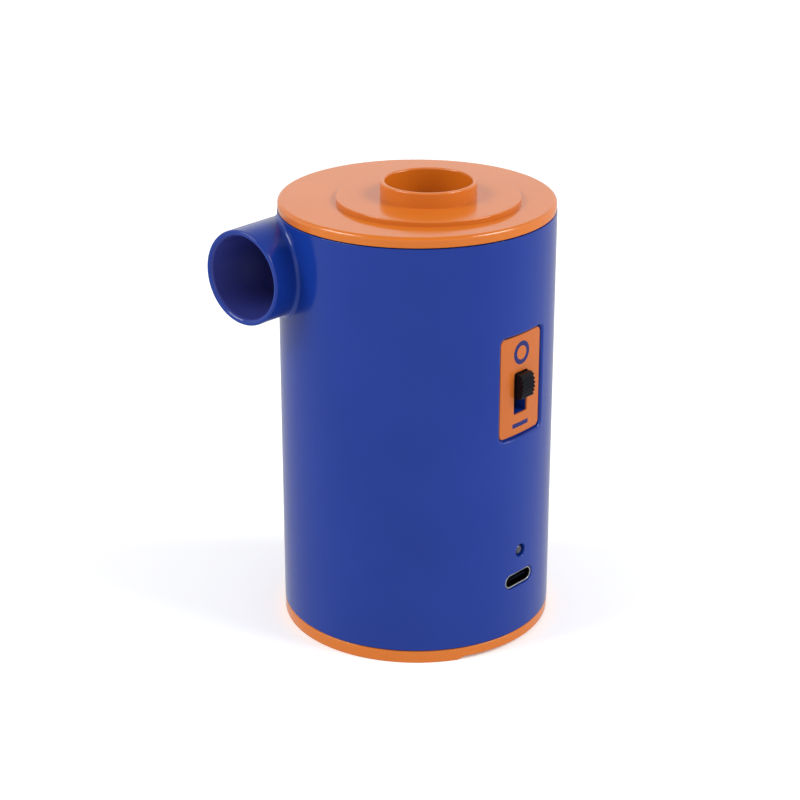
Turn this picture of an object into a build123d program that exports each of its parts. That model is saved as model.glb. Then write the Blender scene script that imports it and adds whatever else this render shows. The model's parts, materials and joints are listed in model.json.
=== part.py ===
from build123d import *
import math
import os

# A hand-sized, rechargeable air mattress pump: a round housing with a fan chamber on top, a motor under it,
# two cells at the back and the charging board and slide switch at the front.
# Frame: millimetres, +Z up, origin at the centre of the standing face. The switch faces -Y, the outlet -X.

# Shell
BODY_R = 30.1
WALL = 1.8
INNER_R = BODY_R - WALL
HOUSING_LOW = 3.05
HOUSING_HIGH = 94.67
FIT_GAP = 0.15
ROUND_END_SLACK = 0.001
SEAM_EDGE = 0.1
HOLE_EDGE = 0.2

# Base cap
BASE_R = 30.05
BASE_HIGH = 2.85
BASE_EDGE = 0.25
BASE_FLOOR = 2.4
SCREW_SEAT = 2.9
NOTCH_H = 0.75
NOTCH_DEPTH = 4.0
NOTCH_ANGLE = 70.0
NOTCH_AT = 6.5
NOTCH_RAMP = 2.0
UNDERSIDE_H = 0.5
UNDERSIDE_IN, UNDERSIDE_OUT = 9.0, 21.0
SPIGOT_HIGH = 5.5
SPIGOT_W = 1.6

# Lid, with its raised disc and inlet collar set round the fan axis
FAN_X, FAN_Y = -0.5, -3.6
LID_R = 30.0
LID_LOW = 94.9
LID_HIGH = 97.05
LID_EDGE = 0.8
LID_SKIRT_LOW = 93.2
DISC_R = 19.8
DISC_HIGH = 98.15
COLLAR_R = 10.4
COLLAR_BORE = 9.36
COLLAR_HIGH = 101.45
INLET_LOW = 92.3
INLET_LIP_R = 11.4
GUARD_R = 10.0
GUARD_LOW = 92.9
GUARD_HIGH = 94.3

# Outlet nozzle, along -X, nearly in line with the rear wall
NOZZLE_Y = 18.1
NOZZLE_Z = 83.5
NOZZLE_R = 10.4
NOZZLE_BORE = 9.1
NOZZLE_SEAT = 8.5
NOZZLE_THROAT = 8.95
NOZZLE_MOUTH = -35.7
NOZZLE_RIM = 0.42
NOZZLE_LIP = 0.85
NOZZLE_BLEND = 0.8

# Screw bosses on the housing wall, as angles from the front (-Y) towards +X
BOSS_ANGLES = (-65.0, 65.0, 180.0)
BOSS_AT = 25.8
BOSS_R = 2.6
SCREW_R = 1.0
SCREW_HEAD_R = 1.9
SCREW_HEAD_H = 1.3
BASE_SCREW = 8.0

# Fan chamber. The cutoff wall keeps the air from going round past the outlet.
CUTOFF_X = (-27.0, -19.2)
CUTOFF_Y = (5.6, 7.2)
CUTOFF_HIGH = 92.6
FLOOR_LOW = 70.5
FLOOR_HIGH = 72.5
LEDGE_LOW = 68.75
LEDGE_R = 25.8
IMPELLER_R = 20.0
IMPELLER_LOW = 74.0
IMPELLER_HIGH = 91.0
PLATE_T = 1.2
SHROUD_T = 1.0
BLADES = 11
BLADE_T = 1.0
BLADE_IN = 8.0
BLADE_SWEEP = 48.0
HUB_R = 4.2
HUB_HIGH = 86.0
INSERT_R = 2.6
INSERT_LOW = 75.6
INSERT_HIGH = 85.0

# Motor: a common 24 mm three-pole motor, hanging under the chamber floor
MOTOR_R = 12.2
MOTOR_LOW = 39.7
MOTOR_HIGH = FLOOR_LOW
CAN_T = 1.0
BOSS_OF_MOTOR_R = 3.1
BOSS_OF_MOTOR_HIGH = 72.3
BUSH_R = 2.4
SHAFT_R = 1.15
RUNNING_GAP = 0.03
SHAFT_LOW = 40.6
SHAFT_HIGH = 86.4
MAGNET_IN = 9.6
MAGNET_ANGLE = 124.0
MAGNET_LOW, MAGNET_HIGH = 45.0, 67.0
CORE_R = 9.2
CORE_LOW, CORE_HIGH = 48.5, 64.5
POLES = 3
COMMUTATOR_R = 2.6
COMMUTATOR_LOW, COMMUTATOR_HIGH = 42.9, 46.4
END_CAP_HIGH = 42.4
MOTOR_SCREW_AT = 8.0
TAB_AT = 8.0
TAB_W, TAB_T = 2.6, 0.7
TAB_LOW = 35.7
BRUSH_L = 2.2
BRUSH_GAP = 0.15

# Cells: two 18650s, standing behind the motor
CELL_R = 9.15
CELL_H = 65.0
CELL_LOW = 3.3
CELL_AT = 18.75
CELL_ANGLE = 32.0
STRIP_T = 0.3

# Slide switch on the front. Its cover plate is bowed like the wall it lies in, though less.
PLATE_LOW, PLATE_HIGH = 50.0, 72.6
PLATE_FRONT = -29.2
PLATE_BOW = 60.0
PLATE_THICK = 0.45
PLATE_W = 13.3
PLATE_CORNER = 1.2
RECESS_LOW, RECESS_HIGH = 49.6, 73.1
RECESS_W = 13.8
RECESS_CORNER = 1.5
RECESS_EDGE = 0.6
PLATE_EDGE = 0.15
PAD_Y = -26.2
PAD_W = 18.0
PAD_LOW, PAD_HIGH = 47.0, 68.75
SLOT_W = 4.4
SLOT_LOW, SLOT_HIGH = 54.7, 64.2
SLOT_CORNER = 0.4
WELL_BACK = -22.4
KNOB_W = 4.0
KNOB_LOW, KNOB_HIGH = 58.5, 64.0
KNOB_Y = -31.45
KNOB_BACK = -28.0
KNOB_RIBS = 6
RIB_GROOVE_R = 0.3
KNOB_BOW = 6.5
KNOB_TRAVEL = 3.6
STEM_END = -24.4
CONTACT_END = -23.2
SWITCH_W = 10.0
SWITCH_LOW, SWITCH_HIGH = 51.0, 68.6
SWITCH_BACK = -20.6
TERMINAL_W, TERMINAL_H = 2.0, 0.6
TERMINAL_END = -18.0
MARK_T = 0.25
MARK_O_Z = 68.45
MARK_O_R, MARK_O_BORE = 2.6, 1.55
MARK_I_Z = 52.15
MARK_I_W, MARK_I_H = 5.3, 1.0

# Charging board, with the USB-C receptacle and the LED
BOARD_FRONT, BOARD_BACK = -21.4, -20.2
BOARD_W = 19.0
BOARD_LOW, BOARD_HIGH = 8.0, 36.0
BOARD_SCREW_X = 7.2
BOARD_SCREW_Z = (11.0, 32.5)
USB_Z = 15.55
USB_W, USB_H = 8.94, 3.26
USB_T = 0.3
USB_MOUTH = -29.6
USB_BACK_T = 1.0
USB_HOLE_GAP = 0.15
LED_Z = 22.35
LED_HOLE_R = 1.5
LED_R = 1.1
LED_TIP = -29.75

WIRE_R = 0.6


def rod(radius, low, high, x=0.0, y=0.0):
    """A cylinder standing along Z."""
    solid = Cylinder(radius, high - low, align=(Align.CENTER, Align.CENTER, Align.MIN))
    return Pos(x, y, low) * solid


def tube(inner, outer, low, high, x=0.0, y=0.0):
    """A ring standing along Z."""
    return rod(outer, low, high, x, y) - rod(inner, low - 1, high + 1, x, y)


def block(x_range, y_range, z_range):
    """A box between three pairs of limits."""
    size = [high - low for low, high in (x_range, y_range, z_range)]
    corner = Pos(x_range[0], y_range[0], z_range[0])
    return corner * Box(*size, align=(Align.MIN, Align.MIN, Align.MIN))


def x_rod(radius, low, high, y, z):
    """A cylinder lying along X."""
    return Pos(low, y, z) * Rot(0, 90, 0) * rod(radius, 0, high - low)


def y_rod(radius, low, high, x, z):
    """A cylinder lying along Y."""
    return Pos(x, low, z) * Rot(-90, 0, 0) * rod(radius, 0, high - low)


def front_slab(width, z_range, corner, y_range):
    """A slab that faces -Y, its outline a rectangle with rounded corners."""
    low, high = z_range
    facing = Plane(origin=(0, y_range[0], (low + high) / 2), x_dir=(1, 0, 0), z_dir=(0, -1, 0))
    outline = facing * RectangleRounded(width, high - low, corner)
    return extrude(outline, amount=y_range[0] - y_range[1])


def around(radius, angle):
    """The x and y of a point, its angle taken from the front (-Y) towards +X."""
    turn = math.radians(angle)
    return radius * math.sin(turn), -radius * math.cos(turn)


def wedge(radius, low, high, middle, spread):
    """A pie slice about Z, its middle at an angle from the front towards +X."""
    start = middle - 90 - spread / 2
    edge_on = Plane(origin=(0, 0, 0), x_dir=(1, 0, 0), z_dir=(0, -1, 0))
    profile = edge_on * Pos(radius / 2, (low + high) / 2) * Rectangle(radius, high - low)
    return revolve(Rot(0, 0, start) * profile, Axis.Z, spread)


def joined(pieces):
    """Several separate solids as one group."""
    return Compound([solid for piece in pieces for solid in piece.solids()])


def stadium(width, height, y_range, z):
    """A slab that faces -Y with round ends."""
    z_range = (z - height / 2, z + height / 2)
    return front_slab(width, z_range, height / 2 - ROUND_END_SLACK, y_range)


def behind_face(depth):
    """Everything further back than the cover plate's bowed face, less a depth."""
    radius = PLATE_BOW - depth
    return rod(radius, RECESS_LOW - 1, RECESS_HIGH + 1, 0, PLATE_FRONT + PLATE_BOW)


def boss_places():
    return [around(BOSS_AT, angle) for angle in BOSS_ANGLES]


def cell_places():
    return [around(CELL_AT, 180 + side * CELL_ANGLE) for side in (1, -1)]


def screw(length, head_low, x, y, up=True):
    """A self-tapping screw along Z: its head sits at head_low and its shank points up or down."""
    head = rod(SCREW_HEAD_R, head_low, head_low + SCREW_HEAD_H, x, y)
    if up:
        shank = rod(SCREW_R, head_low + SCREW_HEAD_H, head_low + SCREW_HEAD_H + length, x, y)
        drive = rod(SCREW_R * 0.6, head_low, head_low + SCREW_HEAD_H * 0.6, x, y)
    else:
        shank = rod(SCREW_R, head_low - length, head_low, x, y)
        drive = rod(SCREW_R * 0.6, head_low + SCREW_HEAD_H * 0.4, head_low + SCREW_HEAD_H, x, y)
    return head + shank - drive


# ---------------------------------------------------------------- shell


def nozzle_blend_edges(body):
    """The edges where the nozzle leaves the round wall."""
    picked = []
    for edge in body.edges():
        middle = edge.position_at(0.5)
        off_nozzle = math.hypot(middle.Y - NOZZLE_Y, middle.Z - NOZZLE_Z)
        off_axis = math.hypot(middle.X, middle.Y)
        if abs(off_nozzle - NOZZLE_R) < 0.05 and abs(off_axis - BODY_R) < 0.05:
            picked.append(edge)
    return picked


def edges_at(body, radius, low, high, axis_y=0.0):
    """The edges of openings in the front, on a round upright face and between two heights."""
    picked = []
    for edge in body.edges():
        points = (edge @ 0, edge @ 0.5, edge @ 1)
        on_face = all(abs(math.hypot(p.X, p.Y - axis_y) - radius) < 0.02 for p in points)
        if on_face and low < points[1].Z < high and points[1].Y < 0:
            picked.append(edge)
    return picked


def nozzle_bore():
    """The air's way out: a flared lip, a straight seat for the mattress valve, then a slight taper inwards."""
    throat_at = NOZZLE_MOUTH + NOZZLE_SEAT
    seat = x_rod(NOZZLE_BORE, NOZZLE_MOUTH, throat_at, NOZZLE_Y, NOZZLE_Z)
    taper = Cone(NOZZLE_BORE, NOZZLE_THROAT, -throat_at, align=(Align.CENTER, Align.CENTER, Align.MIN))
    taper = Pos(throat_at, NOZZLE_Y, NOZZLE_Z) * Rot(0, 90, 0) * taper
    flare_r = NOZZLE_BORE + NOZZLE_LIP
    flare = x_rod(flare_r, NOZZLE_MOUTH - 1, NOZZLE_MOUTH + NOZZLE_LIP, NOZZLE_Y, NOZZLE_Z)
    ring = Pos(NOZZLE_MOUTH + NOZZLE_LIP, NOZZLE_Y, NOZZLE_Z) * Rot(0, 90, 0) * Torus(flare_r, NOZZLE_LIP)
    return seat + taper + (flare - ring)


def main_housing():
    nozzle = x_rod(NOZZLE_R, NOZZLE_MOUTH, -2.0, NOZZLE_Y, NOZZLE_Z)
    nozzle = fillet(nozzle.edges().group_by(Axis.X)[0], NOZZLE_RIM)
    shell = rod(BODY_R, HOUSING_LOW, HOUSING_HIGH)
    shell = fillet(shell.edges().filter_by(GeomType.CIRCLE), SEAM_EDGE)
    body = shell + nozzle
    body = fillet(nozzle_blend_edges(body), NOZZLE_BLEND)

    inside = rod(INNER_R, HOUSING_LOW - 1, HOUSING_HIGH + 1)
    ledge = tube(LEDGE_R, INNER_R + 1, LEDGE_LOW, FLOOR_LOW)
    pad = block((-PAD_W / 2, PAD_W / 2), (-INNER_R - 1, PAD_Y), (PAD_LOW, PAD_HIGH))
    inside = inside - ledge - pad
    for x, y in boss_places():
        inside -= rod(BOSS_R, SPIGOT_HIGH + 0.2, 15.0, x, y)
        inside -= rod(BOSS_R, 59.0, FLOOR_LOW, x, y)
    for x in (-BOARD_SCREW_X, BOARD_SCREW_X):
        for z in BOARD_SCREW_Z:
            inside -= y_rod(2.0, -INNER_R - 1, BOARD_FRONT, x, z)
    body -= inside

    body -= nozzle_bore()
    recess = front_slab(RECESS_W, (RECESS_LOW, RECESS_HIGH), RECESS_CORNER, (-BODY_R - 1, -20))
    body -= recess - behind_face(PLATE_THICK)
    body = fillet(edges_at(body, BODY_R, RECESS_LOW - 1, RECESS_HIGH + 1), RECESS_EDGE)
    body -= front_slab(SLOT_W, (SLOT_LOW, SLOT_HIGH), SLOT_CORNER, (-BODY_R - 1, PAD_Y + 1))
    body -= y_rod(LED_HOLE_R, -BODY_R - 1, -INNER_R + 2, 0, LED_Z)
    usb_hole = (USB_W + 2 * USB_HOLE_GAP, USB_H + 2 * USB_HOLE_GAP)
    body -= stadium(*usb_hole, (-BODY_R - 1, -INNER_R + 2), USB_Z)
    body = fillet(edges_at(body, BODY_R, USB_Z - 3, LED_Z + 3), HOLE_EDGE)
    for x, y in boss_places():
        body -= rod(SCREW_R, SPIGOT_HIGH, 13.5, x, y)
        body -= rod(SCREW_R, 61.0, FLOOR_LOW + 1, x, y)
    for x in (-BOARD_SCREW_X, BOARD_SCREW_X):
        for z in BOARD_SCREW_Z:
            body -= y_rod(0.8, BOARD_FRONT - 4.2, BOARD_FRONT + 1, x, z)
    return body


def lid():
    plate = rod(LID_R, LID_LOW, LID_HIGH)
    plate = fillet(plate.edges().group_by(Axis.Z)[-1], LID_EDGE)
    plate = fillet(plate.edges().group_by(Axis.Z)[0], SEAM_EDGE)
    disc = rod(DISC_R, LID_LOW, DISC_HIGH, FAN_X, FAN_Y)
    disc = fillet(disc.edges().group_by(Axis.Z)[-1], 0.25)
    collar = rod(COLLAR_R, LID_LOW, COLLAR_HIGH, FAN_X, FAN_Y)
    lip = rod(INLET_LIP_R, INLET_LOW, LID_LOW + 1, FAN_X, FAN_Y)
    skirt = tube(INNER_R - FIT_GAP - 1.5, INNER_R - FIT_GAP, LID_SKIRT_LOW, LID_LOW + 0.5)
    body = plate + disc + collar + lip + skirt
    body -= rod(COLLAR_BORE, INLET_LOW - 1, COLLAR_HIGH + 1, FAN_X, FAN_Y)
    rim = body.edges().filter_by(lambda edge: edge.center().Z > COLLAR_HIGH - 0.01)
    body = fillet(rim, 0.35)
    return body - rod(GUARD_R, INLET_LOW - 1, GUARD_HIGH, FAN_X, FAN_Y)


def lid_seal():
    return tube(INNER_R + 0.2, BODY_R - 0.5, HOUSING_HIGH, LID_LOW)


def inlet_guard():
    """A round grille of spokes and one inner ring."""
    guard = tube(COLLAR_BORE - 0.6, GUARD_R, GUARD_LOW, GUARD_HIGH)
    guard += tube(5.2, 6.1, GUARD_LOW, GUARD_HIGH)
    guard += rod(2.2, GUARD_LOW, GUARD_HIGH)
    spoke = block((1.5, COLLAR_BORE), (-0.45, 0.45), (GUARD_LOW, GUARD_HIGH))
    for number in range(6):
        guard += Rot(0, 0, 60 * number) * spoke
    return Pos(FAN_X, FAN_Y, 0) * guard


def notch_ramp(angle, side):
    """The sloped end of a notch in the base's rim."""
    slope = [(0, -1), (0, NOTCH_H), (side * NOTCH_RAMP, 0), (side * NOTCH_RAMP, -1)]
    across = Plane(origin=(BASE_R - NOTCH_DEPTH, 0, 0), x_dir=(0, 1, 0), z_dir=(1, 0, 0))
    ramp = extrude(across * make_face(Polyline(*slope, close=True)), amount=2 * NOTCH_DEPTH)
    return Rot(0, 0, angle - 90) * ramp


def base_cap():
    """A shallow tray that stands flat, with two notches in its rim and a spigot that enters the housing."""
    tray = rod(BASE_R, 0, BASE_HIGH)
    tray = fillet(tray.edges().filter_by(GeomType.CIRCLE), BASE_EDGE)
    inner = INNER_R - FIT_GAP - SPIGOT_W
    tray += tube(inner, INNER_R - FIT_GAP, BASE_HIGH - 1, SPIGOT_HIGH)
    tray -= rod(inner, BASE_FLOOR, SPIGOT_HIGH + 1)
    for x, y in cell_places():
        tray -= rod(CELL_R + 0.3, BASE_FLOOR, SPIGOT_HIGH + 1, x, y)
    tray -= tube(UNDERSIDE_IN, UNDERSIDE_OUT, -1, UNDERSIDE_H)
    for middle in (NOTCH_AT, NOTCH_AT + 180):
        sector = wedge(BODY_R + 2, -1, NOTCH_H, middle, NOTCH_ANGLE)
        tray -= sector - rod(BASE_R - NOTCH_DEPTH, -2, NOTCH_H + 1)
        tray -= notch_ramp(middle - NOTCH_ANGLE / 2, -1)
        tray -= notch_ramp(middle + NOTCH_ANGLE / 2, 1)
    for x, y in boss_places():
        tray += rod(3.0, BASE_FLOOR - 1, SPIGOT_HIGH, x, y) & rod(INNER_R - FIT_GAP, 0, SPIGOT_HIGH)
        tray -= rod(SCREW_HEAD_R + 0.2, -1, SCREW_SEAT, x, y)
        tray -= rod(SCREW_R + 0.1, 0, SPIGOT_HIGH + 1, x, y)
    return tray


def base_screws():
    return joined([screw(BASE_SCREW, SCREW_SEAT - SCREW_HEAD_H, x, y) for x, y in boss_places()])


# ---------------------------------------------------------------- fan chamber


def chamber_floor():
    """The disc between the fan and the rest: it carries the motor and closes the chamber."""
    disc = rod(INNER_R - FIT_GAP, FLOOR_LOW, FLOOR_HIGH)
    disc += tube(BOSS_OF_MOTOR_R + 0.1, BOSS_OF_MOTOR_R + 1.4, FLOOR_LOW, FLOOR_HIGH + 0.8, FAN_X, FAN_Y)
    disc -= rod(BOSS_OF_MOTOR_R + 0.05, FLOOR_LOW - 1, FLOOR_HIGH + 1, FAN_X, FAN_Y)
    disc += block(CUTOFF_X, CUTOFF_Y, (FLOOR_HIGH - 0.5, CUTOFF_HIGH)) & rod(INNER_R - FIT_GAP, 0, 99)
    for x, y in boss_places():
        disc -= rod(SCREW_R + 0.1, FLOOR_LOW - 1, FLOOR_HIGH + 1, x, y)
        disc -= rod(SCREW_HEAD_R + 0.1, FLOOR_HIGH - 1.0, FLOOR_HIGH + 1, x, y)
    for side in (-1, 1):
        x = FAN_X + side * MOTOR_SCREW_AT
        disc -= rod(SCREW_R + 0.1, FLOOR_LOW - 1, FLOOR_HIGH + 1, x, FAN_Y)
        disc -= rod(SCREW_HEAD_R + 0.1, FLOOR_HIGH - 1.0, FLOOR_HIGH + 1, x, FAN_Y)
    return disc


def floor_screws():
    return joined([screw(8.5, FLOOR_HIGH - 1.0, x, y, up=False) for x, y in boss_places()])


def impeller():
    """A closed centrifugal wheel that turns counter-clockwise from above, its blades swept back."""
    blade_low = IMPELLER_LOW + PLATE_T
    blade_high = IMPELLER_HIGH - SHROUD_T
    wheel = rod(IMPELLER_R, IMPELLER_LOW, blade_low)
    wheel += tube(INLET_LIP_R, IMPELLER_R, blade_high, IMPELLER_HIGH)
    wheel += rod(HUB_R, blade_low, HUB_HIGH)
    tip = IMPELLER_R - 0.3
    middle = (BLADE_IN + tip) / 2
    path = ThreePointArc(
        (BLADE_IN, 0),
        around(middle, 90 - BLADE_SWEEP / 3),
        around(tip, 90 - BLADE_SWEEP),
    )
    blade = Pos(0, 0, blade_low) * extrude(trace(path, BLADE_T), amount=blade_high - blade_low)
    for number in range(BLADES):
        wheel += Rot(0, 0, 360 / BLADES * number) * blade
    wheel -= rod(INSERT_R, IMPELLER_LOW - 1, INSERT_HIGH)
    wheel -= rod(SHAFT_R + 0.1, INSERT_HIGH - 1, HUB_HIGH + 1)
    return Pos(FAN_X, FAN_Y, 0) * wheel


def impeller_insert():
    return tube(SHAFT_R, INSERT_R, INSERT_LOW, INSERT_HIGH, FAN_X, FAN_Y)


# ---------------------------------------------------------------- motor, built on its own axis


def motor_can():
    can = rod(MOTOR_R, MOTOR_LOW, MOTOR_HIGH)
    can = fillet(can.edges().group_by(Axis.Z)[-1], 0.8)
    can -= rod(MOTOR_R - CAN_T, MOTOR_LOW - 1, MOTOR_HIGH - CAN_T)
    can += rod(BOSS_OF_MOTOR_R, MOTOR_HIGH - CAN_T, BOSS_OF_MOTOR_HIGH)
    can -= rod(BUSH_R, MOTOR_HIGH - 2, BOSS_OF_MOTOR_HIGH + 1)
    for side in (-1, 1):
        can -= rod(SCREW_R, MOTOR_HIGH - 2, MOTOR_HIGH + 1, side * MOTOR_SCREW_AT, 0)
    return can


def motor_magnets():
    ring = tube(MAGNET_IN, MOTOR_R - CAN_T, MAGNET_LOW, MAGNET_HIGH)
    halves = [ring & wedge(MOTOR_R, MAGNET_LOW, MAGNET_HIGH, middle, MAGNET_ANGLE) for middle in (0, 180)]
    return joined(halves)


def terminal_tab(side, low, high):
    """The flat tab at one side of the motor's end cap."""
    x = side * TAB_AT
    return block((x - TAB_W / 2, x + TAB_W / 2), (-TAB_T / 2, TAB_T / 2), (low, high))


def motor_end_cap():
    cap = rod(MOTOR_R - CAN_T, MOTOR_LOW, END_CAP_HIGH)
    cap -= rod(BUSH_R, MOTOR_LOW + 0.6, END_CAP_HIGH + 1)
    cap -= rod(SHAFT_R + 0.4, MOTOR_LOW - 1, MOTOR_LOW + 1)
    for side in (-1, 1):
        cap -= terminal_tab(side, MOTOR_LOW - 1, END_CAP_HIGH + 1)
    return cap


def front_bush():
    return tube(SHAFT_R + RUNNING_GAP, BUSH_R, MOTOR_HIGH - CAN_T, BOSS_OF_MOTOR_HIGH)


def rear_bush():
    return tube(SHAFT_R + RUNNING_GAP, BUSH_R, MOTOR_LOW + 0.6, END_CAP_HIGH)


def brushes():
    """Two carbon blocks, one at each side of the commutator."""
    near = COMMUTATOR_R + BRUSH_GAP
    pair = []
    for side in (-1, 1):
        x_range = sorted((side * near, side * (near + BRUSH_L)))
        pair.append(block(x_range, (-1.2, 1.2), (COMMUTATOR_LOW + 0.4, COMMUTATOR_HIGH - 0.6)))
    return joined(pair)


def motor_terminals():
    """Two brass tabs through the end cap, each with a leaf that carries its brush."""
    tabs = []
    top = COMMUTATOR_HIGH - 0.6
    inner = COMMUTATOR_R + BRUSH_GAP + BRUSH_L
    for side in (-1, 1):
        leaf_x = sorted((side * inner, side * (TAB_AT + 1)))
        leaf = block(leaf_x, (-TAB_T / 2, TAB_T / 2), (END_CAP_HIGH, top))
        tabs.append(terminal_tab(side, TAB_LOW, END_CAP_HIGH) + leaf)
    return joined(tabs)


def motor_screws():
    places = [side * MOTOR_SCREW_AT for side in (-1, 1)]
    return joined([screw(3.0, FLOOR_HIGH - 1.0, x, 0, up=False) for x in places])


def motor_shaft():
    shaft = rod(SHAFT_R, SHAFT_LOW, SHAFT_HIGH)
    return chamfer(shaft.edges().group_by(Axis.Z)[-1], 0.25)


def armature_core():
    """A laminated rotor with three poles, each a neck under a wide shoe."""
    core = rod(3.4, CORE_LOW, CORE_HIGH)
    shoe = tube(7.6, CORE_R, CORE_LOW, CORE_HIGH)
    for number in range(POLES):
        turn = Rot(0, 0, 360 / POLES * number)
        core += turn * (shoe & wedge(CORE_R + 1, CORE_LOW, CORE_HIGH, 90, 98))
        core += turn * block((0, 8.0), (-1.5, 1.5), (CORE_LOW, CORE_HIGH))
    return core - rod(SHAFT_R, CORE_LOW - 1, CORE_HIGH + 1)


def armature_windings():
    """Three copper coils, one round each pole's neck."""
    coils = []
    for number in range(POLES):
        coil = block((3.9, 6.8), (-3.0, 3.0), (CORE_LOW - 1.7, CORE_HIGH + 1.7))
        coil = fillet(coil.edges().filter_by(Axis.X), 1.2)
        coil -= block((3, 8), (-1.5, 1.5), (CORE_LOW, CORE_HIGH))
        coils.append(Rot(0, 0, 360 / POLES * number) * coil)
    return joined(coils)


def commutator():
    drum = tube(SHAFT_R, COMMUTATOR_R, COMMUTATOR_LOW, COMMUTATOR_HIGH)
    for number in range(POLES):
        z_range = (COMMUTATOR_LOW - 1, COMMUTATOR_HIGH + 1)
        groove = block((COMMUTATOR_R - 0.5, COMMUTATOR_R + 1), (-0.15, 0.15), z_range)
        drum -= Rot(0, 0, 360 / POLES * number + 60) * groove
    return drum


# ---------------------------------------------------------------- cells


def battery_cell(place):
    """One cell with its rounded ends and the button on top."""
    x, y = place
    cell = rod(CELL_R, CELL_LOW, CELL_LOW + CELL_H - 0.6, x, y)
    ends = cell.edges().filter_by(GeomType.CIRCLE)
    cell = fillet(ends, 0.5)
    return cell + rod(3.0, CELL_LOW + CELL_H - 1, CELL_LOW + CELL_H, x, y)


def battery_strips():
    """Nickel: one strip joins both cells below, and each cell has a tab on top."""
    (x_left, y_cell), (x_right, _) = sorted(cell_places())
    top = CELL_LOW + CELL_H
    below = block((x_left - 3, x_right + 3), (y_cell - 3, y_cell + 3), (CELL_LOW - STRIP_T, CELL_LOW))
    tabs = []
    for x in (x_left, x_right):
        tabs.append(block((x - 2.5, x + 2.5), (y_cell - 7.5, y_cell + 2.5), (top, top + STRIP_T)))
    return joined([below] + tabs)


def battery_pads():
    """An insulating pad between each cell's strip and the base."""
    return joined([rod(8.0, BASE_FLOOR, CELL_LOW - STRIP_T, x, y) for x, y in cell_places()])


def battery_bracket():
    """A block with two hollow cheeks that keeps the cells against the rear wall."""
    bracket = block((-17.0, 17.0), (1.0, 11.0), (8.0, 36.0))
    for x, y in cell_places():
        bracket -= rod(CELL_R + 0.1, 0, 60, x, y)
    return bracket


# ---------------------------------------------------------------- charging board


def charge_board():
    board = front_slab(BOARD_W, (BOARD_LOW, BOARD_HIGH), 1.0, (BOARD_FRONT, BOARD_BACK))
    for x in (-BOARD_SCREW_X, BOARD_SCREW_X):
        for z in BOARD_SCREW_Z:
            board -= y_rod(0.9, BOARD_FRONT - 1, BOARD_BACK + 1, x, z)
    return board


def board_components():
    """The charger chip, a coil and a few small parts on the back of the board."""
    chip = block((-2.5, 2.5), (BOARD_BACK, BOARD_BACK + 1.5), (13.0, 18.0))
    coil = block((-3.0, 3.0), (BOARD_BACK, BOARD_BACK + 3.0), (24.0, 30.0))
    small = []
    for x in (-7, 5):
        for z in (16, 19, 22):
            small.append(block((x, x + 1.6), (BOARD_BACK, BOARD_BACK + 0.8), (z, z + 0.9)))
    return joined([chip, coil] + small)


def board_screws():
    screws = []
    for x in (-BOARD_SCREW_X, BOARD_SCREW_X):
        for z in BOARD_SCREW_Z:
            head = y_rod(1.5, BOARD_BACK, BOARD_BACK + 1.1, x, z)
            shank = y_rod(0.8, BOARD_FRONT - 4.0, BOARD_BACK, x, z)
            screws.append(head + shank)
    return joined(screws)


def usb_shell():
    shell = stadium(USB_W, USB_H, (USB_MOUTH, BOARD_FRONT), USB_Z)
    hollow = stadium(USB_W - 2 * USB_T, USB_H - 2 * USB_T, (USB_MOUTH - 1, BOARD_FRONT - USB_BACK_T), USB_Z)
    shell -= hollow
    return fillet(shell.edges().group_by(Axis.Y)[0], 0.1)


def usb_tongue():
    tongue = (USB_MOUTH + 0.7, BOARD_FRONT - USB_BACK_T)
    return front_slab(6.7, (USB_Z - 0.35, USB_Z + 0.35), 0.3, tongue)


def charge_led():
    """A small domed LED on a long foot that reaches the hole in the wall."""
    lens = y_rod(LED_R, LED_TIP, BOARD_FRONT, 0, LED_Z)
    return fillet(lens.edges().group_by(Axis.Y)[0], LED_R * 0.6)


# ---------------------------------------------------------------- slide switch


def switch_plate():
    plate = front_slab(PLATE_W, (PLATE_LOW, PLATE_HIGH), PLATE_CORNER, (-BODY_R - 1, -20))
    plate &= behind_face(0) - behind_face(PLATE_THICK)
    plate -= front_slab(SLOT_W, (SLOT_LOW, SLOT_HIGH), SLOT_CORNER, (-BODY_R - 1, -20))
    outline = edges_at(plate, PLATE_BOW, PLATE_LOW - 1, PLATE_HIGH + 1, PLATE_FRONT + PLATE_BOW)
    plate = fillet(outline, PLATE_EDGE)
    return plate - switch_mark_off() - switch_mark_on()


def mark_depth():
    """The thin bowed layer that both marks fill."""
    return behind_face(0) - behind_face(MARK_T)


def switch_mark_off():
    ring = y_rod(MARK_O_R, -BODY_R - 1, -20, 0, MARK_O_Z)
    ring -= y_rod(MARK_O_BORE, -BODY_R - 2, -19, 0, MARK_O_Z)
    return ring & mark_depth()


def switch_mark_on():
    half = MARK_I_H / 2
    bar = block((-MARK_I_W / 2, MARK_I_W / 2), (-BODY_R - 1, -20), (MARK_I_Z - half, MARK_I_Z + half))
    return bar & mark_depth()


def switch_knob():
    """A ribbed thumb piece, bowed from top to bottom, on a stem that runs through the slot."""
    half = KNOB_W / 2
    height = KNOB_HIGH - KNOB_LOW
    middle = (KNOB_LOW + KNOB_HIGH) / 2
    cap = block((-half, half), (KNOB_Y, KNOB_BACK), (KNOB_LOW, KNOB_HIGH))
    cap &= x_rod(KNOB_BOW, -half, half, KNOB_Y + KNOB_BOW, middle)
    for number in range(KNOB_RIBS + 1):
        rise = height * (number / KNOB_RIBS - 0.5)
        sink = KNOB_BOW - math.sqrt(KNOB_BOW**2 - rise**2)
        cap -= x_rod(RIB_GROOVE_R, -half - 1, half + 1, KNOB_Y + sink, middle + rise)
    stem = block((-half, half), (KNOB_BACK, STEM_END), (KNOB_LOW, KNOB_HIGH))
    return cap + stem


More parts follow.
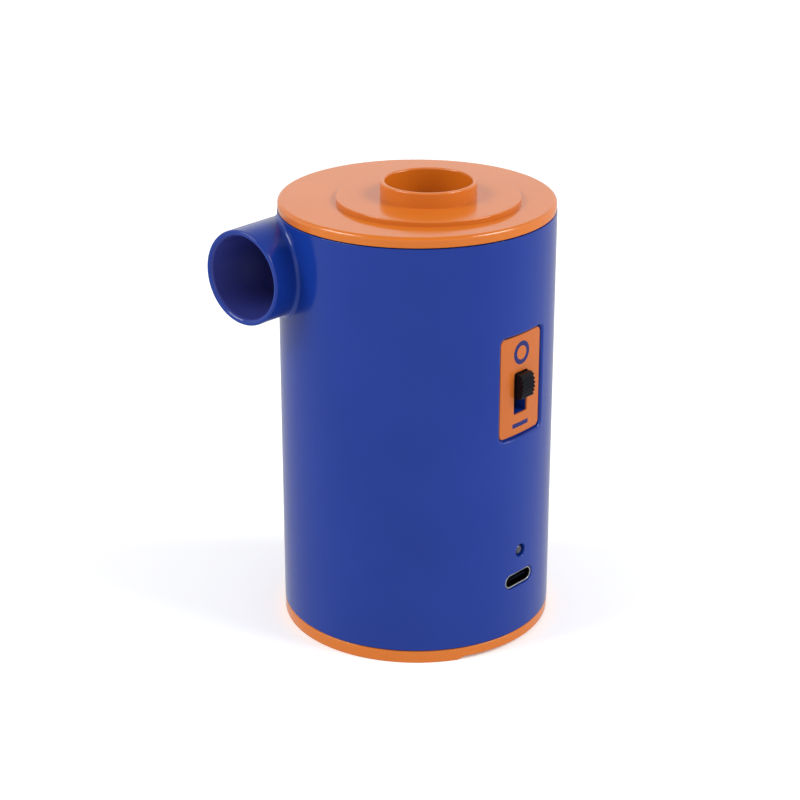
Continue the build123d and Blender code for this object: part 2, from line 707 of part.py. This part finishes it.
def switch_contact():
    """The bronze bridge that the stem drags along the terminals."""
    middle = (KNOB_LOW + KNOB_HIGH) / 2
    return block((-1.6, 1.6), (STEM_END, CONTACT_END), (middle - 2.2, middle + 2.2))


def switch_housing():
    """A small box behind the slot, open to the front."""
    case = block((-SWITCH_W / 2, SWITCH_W / 2), (PAD_Y, SWITCH_BACK), (SWITCH_LOW, SWITCH_HIGH))
    well = block((-SLOT_W / 2, SLOT_W / 2), (PAD_Y - 1, WELL_BACK), (SLOT_LOW, SLOT_HIGH))
    return case - well - joined(terminal_pins(SWITCH_BACK + 1))


def switch_terminal_heights():
    middle = (SLOT_LOW + SLOT_HIGH) / 2
    return [middle - KNOB_TRAVEL, middle, middle + KNOB_TRAVEL]


def terminal_pins(end_y):
    """Three flat pins from the bottom of the switch's well to end_y."""
    half_w, half_h = TERMINAL_W / 2, TERMINAL_H / 2
    y_range = (WELL_BACK - 0.1, end_y)
    return [block((-half_w, half_w), y_range, (z - half_h, z + half_h)) for z in switch_terminal_heights()]


def switch_terminals():
    return joined(terminal_pins(TERMINAL_END))


# ---------------------------------------------------------------- wires


def wire(points):
    """A round wire through a few points."""
    path = Spline(*points)
    section = Plane(origin=path @ 0, z_dir=path % 0) * Circle(WIRE_R)
    return sweep(section, path=path)


def cell_lead(side):
    """A wire from a cell's top tab, down between motor and wall, to the charging board."""
    x, y = sorted(cell_places())[(side + 1) // 2]
    lead_z = CELL_LOW + CELL_H + STRIP_T + WIRE_R + 0.05
    points = [(x + side, y - 6, lead_z), (side * 15, 4, lead_z - 0.6), (side * 18.5, -2, 58)]
    points += [(side * 19, -9, 40), (side * 8, -19.5, 21.5)]
    return wire(points)


def wires_red():
    low_pin, middle_pin, _ = switch_terminal_heights()
    motor_tab = (FAN_X + TAB_AT, FAN_Y - 1.2, TAB_LOW + 0.7)
    to_switch = wire([(-3.8, BOARD_BACK + 0.7, 31.5), (-5.0, -17.5, 42.0), (-2.0, -17.2, middle_pin)])
    to_motor = wire([(2.0, -17.2, low_pin), (12.5, -15.5, 50.0), (14.2, -9.0, 40.0), motor_tab])
    return joined([cell_lead(1), to_switch, to_motor])


def wires_black():
    motor_tab = (FAN_X - TAB_AT, FAN_Y - 1.2, TAB_LOW + 0.7)
    to_motor = wire([(-1.2, BOARD_BACK + 0.7, 33.5), (-5.0, -14.0, 35.2), motor_tab])
    return joined([cell_lead(-1), to_motor])


def on_fan_axis(shape):
    return Pos(FAN_X, FAN_Y, 0) * shape


def all_parts():
    left, right = sorted(cell_places())
    parts = {
        "main_housing": main_housing(),
        "lid": lid(),
        "lid_seal": lid_seal(),
        "inlet_guard": inlet_guard(),
        "base_cap": base_cap(),
        "base_screws": base_screws(),
        "chamber_floor": chamber_floor(),
        "floor_screws": floor_screws(),
        "impeller": impeller(),
        "impeller_insert": impeller_insert(),
        "battery_cell_left": battery_cell(left),
        "battery_cell_right": battery_cell(right),
        "battery_strips": battery_strips(),
        "battery_pads": battery_pads(),
        "battery_bracket": battery_bracket(),
        "charge_board": charge_board(),
        "board_components": board_components(),
        "board_screws": board_screws(),
        "usb_shell": usb_shell(),
        "usb_tongue": usb_tongue(),
        "charge_led": charge_led(),
        "switch_plate": switch_plate(),
        "switch_mark_off": switch_mark_off(),
        "switch_mark_on": switch_mark_on(),
        "switch_knob": switch_knob(),
        "switch_contact": switch_contact(),
        "switch_housing": switch_housing(),
        "switch_terminals": switch_terminals(),
        "wires_red": wires_red(),
        "wires_black": wires_black(),
    }
    on_motor = (
        motor_can,
        motor_magnets,
        motor_end_cap,
        front_bush,
        rear_bush,
        brushes,
        motor_terminals,
        motor_screws,
        motor_shaft,
        armature_core,
        armature_windings,
        commutator,
    )
    for make in on_motor:
        parts[make.__name__] = on_fan_axis(make())
    return parts


os.makedirs("parts", exist_ok=True)
for node, shape in all_parts().items():
    export_step(shape, f"parts/{node}.step")
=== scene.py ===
"""The looks of an electric air mattress pump.

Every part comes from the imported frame. This script gives each one its material, and adds a camera,
a floor and lights. Lengths are in metres, angles in degrees and colours linear.
"""

import json
import math
from functools import partial

import bpy
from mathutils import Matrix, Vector

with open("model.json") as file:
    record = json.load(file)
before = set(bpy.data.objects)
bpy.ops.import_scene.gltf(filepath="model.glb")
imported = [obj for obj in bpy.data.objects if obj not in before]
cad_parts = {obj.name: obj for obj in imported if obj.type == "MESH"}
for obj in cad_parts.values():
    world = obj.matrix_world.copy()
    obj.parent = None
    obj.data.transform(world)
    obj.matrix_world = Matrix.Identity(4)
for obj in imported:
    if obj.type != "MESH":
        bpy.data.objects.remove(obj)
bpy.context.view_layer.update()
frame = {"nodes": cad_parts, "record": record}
NODES = frame["nodes"]

# ---------------------------------------------------------------- camera, floor and lights

LENS_MM, SENSOR_MM = 95.09, 36.0
CAMERA_AT = (-0.3321, -0.2836, 0.2260)
CAMERA_PITCH = 21.965
CAMERA_TURN = -49.021
CLIP_NEAR, CLIP_FAR = 0.01, 50.0

FLOOR_HALF = 6.0
FLOOR_WHITE = 0.95
FLOOR_MIRRORED = 0.62
FLOOR_LIFT = 0.17
FLOOR_ROUGHNESS = 0.9
FLOOR_SPECULAR = 0.1

ROOM_LOW, ROOM_HIGH = 0.98, 0.38
ROOM_FADE = (0.35, 0.75)
LIGHT_SIZE = (0.7, 0.5)
LIGHT_TARGET = (0, 0, 0.05)
KEY_AT, KEY_POWER = (0.47, -0.97, 0.95), 12.0
FILL_AT, FILL_POWER = (-0.89, 0.62, 0.95), 10.5

# ---------------------------------------------------------------- colours

WHITE = (1, 1, 1, 1)
BLUE = (0.0060, 0.0320, 0.250, 1)
BLUE_DEEP = (0.0052, 0.0290, 0.235, 1)
# Painted light for the outlet's bore: a paler, redder copy of the housing's blue.
BORE_PAINTED_LIGHT_BLUE = (0.042, 0.052, 0.27, 1)
INK_BLUE = (0.0090, 0.0130, 0.120, 1)
INK_BLUE_DEEP = (0.0080, 0.0118, 0.110, 1)
ORANGE = (0.620, 0.168, 0.0205, 1)
ORANGE_DEEP = (0.600, 0.157, 0.0180, 1)
LID_ORANGE = (0.600, 0.152, 0.0110, 1)
LID_ORANGE_DEEP = (0.580, 0.142, 0.0098, 1)
PLATE_ORANGE = (0.500, 0.124, 0.0200, 1)
PLATE_ORANGE_DEEP = (0.485, 0.118, 0.0185, 1)
LENS_GREY = (0.036, 0.040, 0.068, 1)
LENS_GREY_DEEP = (0.030, 0.034, 0.058, 1)
WRAP_GREEN = (0.02, 0.20, 0.17, 1)
WRAP_GREEN_DEEP = (0.015, 0.17, 0.15, 1)
BLACK = (0.002, 0.0028, 0.0065, 1)
FOAM_GREY = (0.2, 0.2, 0.21, 1)
ZINC = (0.60, 0.61, 0.62, 1)
# Painted shade for the inside of the charging port's shell.
PORT_PAINTED_SHADE = (0.02, 0.02, 0.022, 1)

# ---------------------------------------------------------------- places on the pump

# The outlet's axis lies along X. Its bore's painted light, a paler and redder blue that stands in for
# the light falling into it, ends at the rounded lip and at the inner end.
OUTLET_Y, OUTLET_Z = 0.0181, 0.0835
BORE_LIP_FADE = (0.0092, 0.0094)
BORE_END_FADE = (-0.004, -0.002)
# The charging port's mouth, and the depths from it over which painted shade darkens its shell.
PORT_MOUTH_Y = -0.0296
PORT_SHADE_FADE = (0.0001, 0.0004)

# ---------------------------------------------------------------- textures

# Noise scales are per metre and bump heights in metres.
RAMP_SPAN = (0.35, 0.65)

GLOSS_SHADE_SCALE = 45.0
GLOSS_SMEAR_SCALE = 120.0
GLOSS_ROUGHNESS = (0.10, 0.20)
GLOSS_SKIN_SCALE = 350.0
GLOSS_SKIN_STRENGTH, GLOSS_SKIN_HEIGHT = 0.03, 0.0002
WIPE_SCALE = (40.0, 40.0, 900.0)
WIPE_SPAN = (0.55, 0.80)
WIPE_ROUGHNESS = 0.08

MATTE_SHADE_SCALE = 80.0
MATTE_GRAIN_SCALE = 2500.0
MATTE_DARKEST = 0.8
MATTE_UNEVEN = 0.08
MATTE_GRAIN_STRENGTH = 0.25
FOAM_GRAIN_SCALE = 1200.0

METAL_SHADE_SCALE = 300.0
METAL_GRAIN_SCALE = 900.0
METAL_DARKEST = 0.82
METAL_UNEVEN = 0.1
METAL_GRAIN_STRENGTH = 0.1
GRAIN_HEIGHT = 0.00005


# ---------------------------------------------------------------- node helpers


def new_material(name):
    """A material with only a Principled shader, and that shader."""
    made = bpy.data.materials.new(name)
    made.use_nodes = True
    return made, made.node_tree.nodes["Principled BSDF"]


def feed(tree, socket, value):
    """Links another node's output to an input, or sets the input to a plain value."""
    if isinstance(value, bpy.types.NodeSocket):
        tree.links.new(value, socket)
    else:
        socket.default_value = value


def node(tree, kind, **inputs):
    """A shader node and what its inputs are fed."""
    made = tree.nodes.new(kind)
    for name, value in inputs.items():
        feed(tree, made.inputs[name.replace("_", " ")], value)
    return made


def object_place(tree):
    """Coordinates in the object's own space, which is the frame's at rest."""
    return node(tree, "ShaderNodeTexCoord").outputs["Object"]


def ramp(tree, factor, low, high):
    """A ramp from one colour to another along a factor."""
    made = node(tree, "ShaderNodeValToRGB", Fac=factor)
    first, last = made.color_ramp.elements
    first.position, last.position = RAMP_SPAN
    first.color, last.color = low, high
    return made.outputs["Color"]


def to_range(tree, value, low, high, source=(0.0, 1.0)):
    """A value spread from one range to another."""
    made = node(tree, "ShaderNodeMapRange", Value=value, To_Min=low, To_Max=high)
    made.inputs["From Min"].default_value, made.inputs["From Max"].default_value = source
    return made.outputs["Result"]


def noise(tree, scale, detail, place):
    """Noise over a place, from 0 to 1."""
    return node(tree, "ShaderNodeTexNoise", Vector=place, Scale=scale, Detail=detail).outputs["Fac"]


def calculate(tree, operation, *values):
    """A math node over numbers or other nodes' outputs."""
    made = tree.nodes.new("ShaderNodeMath")
    made.operation = operation
    for socket, value in zip(made.inputs, values):
        feed(tree, socket, value)
    return made.outputs["Value"]


def bump(tree, height, strength, distance):
    """A bump from a height."""
    made = node(tree, "ShaderNodeBump", Height=height, Strength=strength, Distance=distance)
    return made.outputs["Normal"]


def repaint(made, share, colour):
    """Paints another colour over a material's own, by a share from 0 to 1."""
    tree = made.node_tree
    base = tree.nodes["Principled BSDF"].inputs["Base Color"]
    mix = tree.nodes.new("ShaderNodeMix")
    mix.data_type = "RGBA"
    factor = next(socket for socket in mix.inputs if socket.name == "Factor" and socket.type == "VALUE")
    under, over = [socket for socket in mix.inputs if socket.type == "RGBA"]
    feed(tree, factor, share)
    feed(tree, under, base.links[0].from_socket)
    feed(tree, over, colour)
    mixed = next(socket for socket in mix.outputs if socket.type == "RGBA")
    feed(tree, base, mixed)


def darkened(colour, share):
    """The same colour at a share of its brightness."""
    return tuple(channel * share for channel in colour[:3]) + (1,)


# ---------------------------------------------------------------- scene


def add_to_scene(name, data):
    """A new object over its data, in the scene."""
    made = bpy.data.objects.new(name, data)
    bpy.context.scene.collection.objects.link(made)
    return made


def add_camera():
    """The camera looks down at the pump from the outlet side."""
    data = bpy.data.cameras.new("camera")
    data.lens = LENS_MM
    data.sensor_width = SENSOR_MM
    data.clip_start = CLIP_NEAR
    data.clip_end = CLIP_FAR
    camera = add_to_scene("camera", data)
    camera.location = CAMERA_AT
    camera.rotation_euler = (math.radians(90 - CAMERA_PITCH), 0, math.radians(CAMERA_TURN))
    bpy.context.scene.camera = camera


def floor_white():
    """Seen by the camera as a lifted white, and mirrored by gloss as an even pale grey."""
    made, shader = new_material("floor_white")
    tree = made.node_tree
    ray = node(tree, "ShaderNodeLightPath").outputs
    feed(tree, shader.inputs["Base Color"], to_range(tree, ray["Is Glossy Ray"], FLOOR_WHITE, 0.0))
    shader.inputs["Roughness"].default_value = FLOOR_ROUGHNESS
    shader.inputs["Specular IOR Level"].default_value = FLOOR_SPECULAR
    shader.inputs["Emission Color"].default_value = WHITE
    mirrored = calculate(tree, "MULTIPLY", ray["Is Glossy Ray"], FLOOR_MIRRORED)
    glow = calculate(tree, "MULTIPLY_ADD", ray["Is Camera Ray"], FLOOR_LIFT, mirrored)
    feed(tree, shader.inputs["Emission Strength"], glow)
    return made


def add_floor():
    """A plain floor at the standing face's height."""
    mesh = bpy.data.meshes.new("floor")
    turns = ((-1, -1), (1, -1), (1, 1), (-1, 1))
    corners = [(x * FLOOR_HALF, y * FLOOR_HALF, 0) for x, y in turns]
    mesh.from_pydata(corners, [], [(0, 1, 2, 3)])
    mesh.materials.append(floor_white())
    floor = add_to_scene("floor", mesh)


def add_area_light(name, place, power):
    """A soft rectangular light that faces the pump."""
    data = bpy.data.lights.new(name, "AREA")
    data.shape = "RECTANGLE"
    data.size, data.size_y = LIGHT_SIZE
    data.energy = power
    light = add_to_scene(name, data)
    light.location = place
    aim = Vector(LIGHT_TARGET) - Vector(place)
    light.rotation_euler = aim.to_track_quat("-Z", "Y").to_euler()


def add_studio():
    """A white room, dimmer overhead, with a soft key light on the right and a fill on the left."""
    world = bpy.data.worlds.new("studio")
    world.use_nodes = True
    tree = world.node_tree
    way = node(tree, "ShaderNodeTexCoord").outputs["Generated"]
    height = node(tree, "ShaderNodeSeparateXYZ", Vector=way).outputs["Z"]
    background = tree.nodes["Background"]
    background.inputs["Color"].default_value = WHITE
    feed(tree, background.inputs["Strength"], to_range(tree, height, ROOM_LOW, ROOM_HIGH, ROOM_FADE))
    bpy.context.scene.world = world
    bpy.context.scene.view_settings.view_transform = "Standard"
    add_area_light("key", KEY_AT, KEY_POWER)
    add_area_light("fill", FILL_AT, FILL_POWER)


# ---------------------------------------------------------------- kinds of material


def wipe_marks(tree, place):
    """Faint marks of handling: noise drawn out sideways into thin level streaks."""
    drawn_out = node(tree, "ShaderNodeMapping", Vector=place, Scale=WIPE_SCALE).outputs["Vector"]
    streaks = noise(tree, 1.0, 4.0, drawn_out)
    return to_range(tree, streaks, 0.0, 1.0, WIPE_SPAN)


def gloss_plastic(name, colour, deep, specular=0.5):
    """Glossy moulded plastic: uneven colour and gloss, a moulded skin's ripple and faint wipe marks."""
    made, shader = new_material(name)
    tree = made.node_tree
    place = object_place(tree)
    shade = noise(tree, GLOSS_SHADE_SCALE, 2.0, place)
    feed(tree, shader.inputs["Base Color"], ramp(tree, shade, deep, colour))
    smear = to_range(tree, noise(tree, GLOSS_SMEAR_SCALE, 4.0, place), *GLOSS_ROUGHNESS)
    wiped = calculate(tree, "MULTIPLY_ADD", wipe_marks(tree, place), WIPE_ROUGHNESS, smear)
    feed(tree, shader.inputs["Roughness"], wiped)
    ripple = noise(tree, GLOSS_SKIN_SCALE, 2.0, place)
    feed(tree, shader.inputs["Normal"], bump(tree, ripple, GLOSS_SKIN_STRENGTH, GLOSS_SKIN_HEIGHT))
    shader.inputs["Specular IOR Level"].default_value = specular
    return made


def matte_plastic(name, colour, roughness, grain=MATTE_GRAIN_SCALE, specular=0.5):
    """Plastic with a fine spark-eroded grain."""
    made, shader = new_material(name)
    tree = made.node_tree
    place = object_place(tree)
    shade = noise(tree, MATTE_SHADE_SCALE, 3.0, place)
    feed(tree, shader.inputs["Base Color"], ramp(tree, shade, darkened(colour, MATTE_DARKEST), colour))
    fine = noise(tree, grain, 3.0, place)
    uneven = to_range(tree, fine, roughness - MATTE_UNEVEN, roughness + MATTE_UNEVEN)
    feed(tree, shader.inputs["Roughness"], uneven)
    feed(tree, shader.inputs["Normal"], bump(tree, fine, MATTE_GRAIN_STRENGTH, GRAIN_HEIGHT))
    shader.inputs["Specular IOR Level"].default_value = specular
    return made


def metal(name, colour, roughness):
    """Metal with a fine grain and an uneven polish."""
    made, shader = new_material(name)
    tree = made.node_tree
    place = object_place(tree)
    shade = noise(tree, METAL_SHADE_SCALE, 3.0, place)
    feed(tree, shader.inputs["Base Color"], ramp(tree, shade, darkened(colour, METAL_DARKEST), colour))
    fine = noise(tree, METAL_GRAIN_SCALE, 5.0, place)
    uneven = to_range(tree, fine, roughness - METAL_UNEVEN, roughness + METAL_UNEVEN)
    feed(tree, shader.inputs["Roughness"], uneven)
    feed(tree, shader.inputs["Normal"], bump(tree, fine, METAL_GRAIN_STRENGTH, GRAIN_HEIGHT))
    shader.inputs["Metallic"].default_value = 1.0
    return made


# ---------------------------------------------------------------- materials of single parts


def housing_plastic(name):
    """The housing's glossy blue, with painted light inside the outlet: a paler, redder blue that stands
    in for light falling into the bore.
    """
    made = gloss_plastic(name, BLUE, BLUE_DEEP, specular=0.36)
    tree = made.node_tree
    x, y, z = node(tree, "ShaderNodeSeparateXYZ", Vector=object_place(tree)).outputs
    aside = calculate(tree, "SUBTRACT", y, OUTLET_Y)
    above = calculate(tree, "SUBTRACT", z, OUTLET_Z)
    above_squared = calculate(tree, "MULTIPLY", above, above)
    off_axis = calculate(tree, "SQRT", calculate(tree, "MULTIPLY_ADD", aside, aside, above_squared))
    in_bore = to_range(tree, off_axis, 1.0, 0.0, BORE_LIP_FADE)
    in_nozzle = to_range(tree, x, 1.0, 0.0, BORE_END_FADE)
    # Painted light: the paler blue is laid over the bore between its lip and its inner end.
    repaint(made, calculate(tree, "MULTIPLY", in_bore, in_nozzle), BORE_PAINTED_LIGHT_BLUE)
    return made


def port_metal(name):
    """The charging port's shell: its own zinc at the mouth, with painted shade that darkens it further
    in.
    """
    made = metal(name, ZINC, 0.32)
    tree = made.node_tree
    y = node(tree, "ShaderNodeSeparateXYZ", Vector=object_place(tree)).outputs["Y"]
    fade = [PORT_MOUTH_Y + depth for depth in PORT_SHADE_FADE]
    # Painted shade: the shell turns dark inside the port, where shade falls.
    repaint(made, to_range(tree, y, 0.0, 1.0, fade), PORT_PAINTED_SHADE)
    return made


def finish_of(slot_name):
    """The material for one of the record's slots."""
    makers = {
        "blue_shell": housing_plastic,
        "orange_shell": partial(gloss_plastic, colour=ORANGE, deep=ORANGE_DEEP, specular=0.4),
        "blue_print": partial(gloss_plastic, colour=INK_BLUE, deep=INK_BLUE_DEEP, specular=0.36),
        "lens_plastic": partial(gloss_plastic, colour=LENS_GREY, deep=LENS_GREY_DEEP, specular=0.8),
        "cell_wrap": partial(gloss_plastic, colour=WRAP_GREEN, deep=WRAP_GREEN_DEEP),
        "black_plastic": partial(matte_plastic, colour=BLACK, roughness=0.35, specular=0.15),
        "white_plastic": partial(matte_plastic, colour=(0.72, 0.72, 0.69, 1), roughness=0.4),
        "seal_rubber": partial(matte_plastic, colour=(0.01, 0.01, 0.02, 1), roughness=0.7),
        "ferrite": partial(matte_plastic, colour=(0.06, 0.06, 0.065, 1), roughness=0.75),
        "carbon": partial(matte_plastic, colour=(0.03, 0.03, 0.03, 1), roughness=0.6),
        "circuit_green": partial(matte_plastic, colour=(0.01, 0.13, 0.05, 1), roughness=0.35),
        "component_black": partial(matte_plastic, colour=(0.02, 0.02, 0.022, 1), roughness=0.5),
        "foam_grey": partial(matte_plastic, colour=FOAM_GREY, roughness=0.9, grain=FOAM_GRAIN_SCALE),
        "wire_red": partial(matte_plastic, colour=(0.5, 0.015, 0.012, 1), roughness=0.45),
        "wire_black": partial(matte_plastic, colour=(0.012, 0.012, 0.012, 1), roughness=0.45),
        "zinc_steel": partial(metal, colour=ZINC, roughness=0.32),
        "motor_steel": partial(metal, colour=(0.62, 0.62, 0.62, 1), roughness=0.28),
        "laminated_steel": partial(metal, colour=(0.33, 0.33, 0.34, 1), roughness=0.4),
        "copper": partial(metal, colour=(0.72, 0.30, 0.13, 1), roughness=0.3),
        "brass_metal": partial(metal, colour=(0.76, 0.56, 0.22, 1), roughness=0.26),
        "bronze": partial(metal, colour=(0.55, 0.36, 0.18, 1), roughness=0.36),
        "nickel": partial(metal, colour=(0.72, 0.71, 0.68, 1), roughness=0.18),
    }
    return makers[slot_name]("look_" + slot_name)


def paint_slots():
    """Gives every node the material of its slot."""
    slots = {}
    for part in frame["record"]["subparts"]:
        slot_name = part["material_slot"]
        if slot_name not in slots:
            slots[slot_name] = finish_of(slot_name)
        materials = NODES[part["node"]].data.materials
        materials.clear()
        materials.append(slots[slot_name])


def paint_single_parts():
    """Gives four nodes a finish of their own, which differs from the rest of their slot."""
    own = {
        "lid": gloss_plastic("look_lid", LID_ORANGE, LID_ORANGE_DEEP, specular=0.55),
        # The port's shell carries painted shade further in.
        "usb_shell": port_metal("look_port"),
        "usb_tongue": matte_plastic("look_tongue", BLACK, 0.6, specular=0.02),
        "switch_plate": gloss_plastic("look_plate", PLATE_ORANGE, PLATE_ORANGE_DEEP, specular=0.4),
    }
    for node_name, material in own.items():
        NODES[node_name].data.materials[0] = material


add_camera()
add_floor()
add_studio()
paint_slots()
paint_single_parts()
